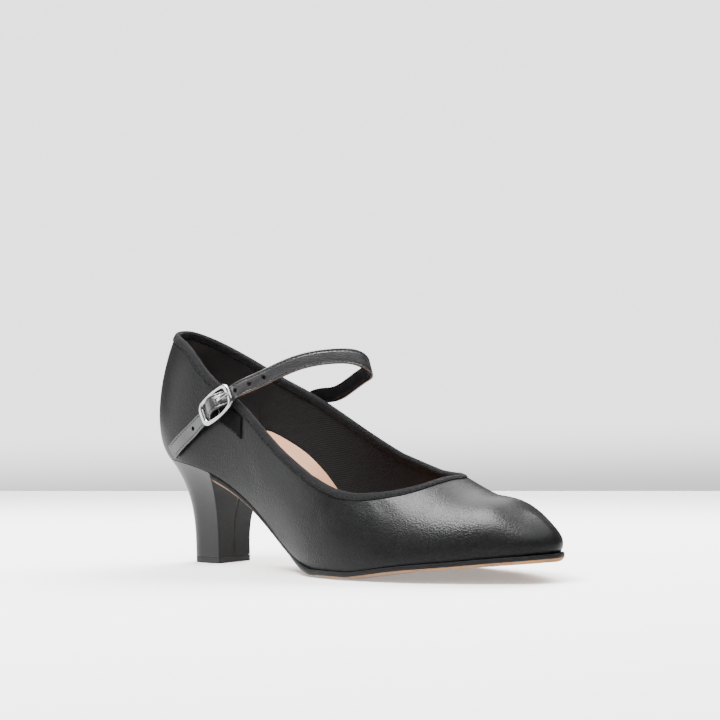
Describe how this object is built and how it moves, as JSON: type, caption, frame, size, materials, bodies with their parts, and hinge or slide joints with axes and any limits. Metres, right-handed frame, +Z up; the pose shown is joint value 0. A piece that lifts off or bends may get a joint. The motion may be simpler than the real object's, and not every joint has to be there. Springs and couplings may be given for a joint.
{
  "type": "character shoe",
  "caption": "Heeled court shoe for dance and theatre with a closed toe, a covered block heel and a buckled instep strap.",
  "frame": {"origin": "on the floor, at the middle of the top lift's flat underside", "axes": "+X along the shoe to the toe, +Y to the medial side, +Z up from the floor"},
  "size_m": [0.2354, 0.0773, 0.1085],
  "materials": {
    "upper_leather": "black coated leather, fine pebble grain, semi-gloss",
    "binding_tape": "black woven tape, matt",
    "sock": "peach smooth sock lining, matt",
    "sole_leather": "tan sole leather with a black inked edge",
    "heel_cover": "smooth black heel cover, satin gloss",
    "lift_rubber": "black rubber, matt",
    "strap_leather": "black coated leather, semi-gloss, stitched edges",
    "buckle_plate": "bright chrome plate",
    "elastic": "black woven elastic, matt"
  },
  "bodies": {
    "root": {"upper": "upper_leather", "topline_binding": "binding_tape", "insole": "sock", "outsole": "sole_leather", "heel": "heel_cover", "top_lift": "lift_rubber", "strap": "strap_leather", "buckle_frame": "buckle_plate", "buckle_prong": "buckle_plate", "buckle_tab": "elastic"}
  },
  "joints": []
}
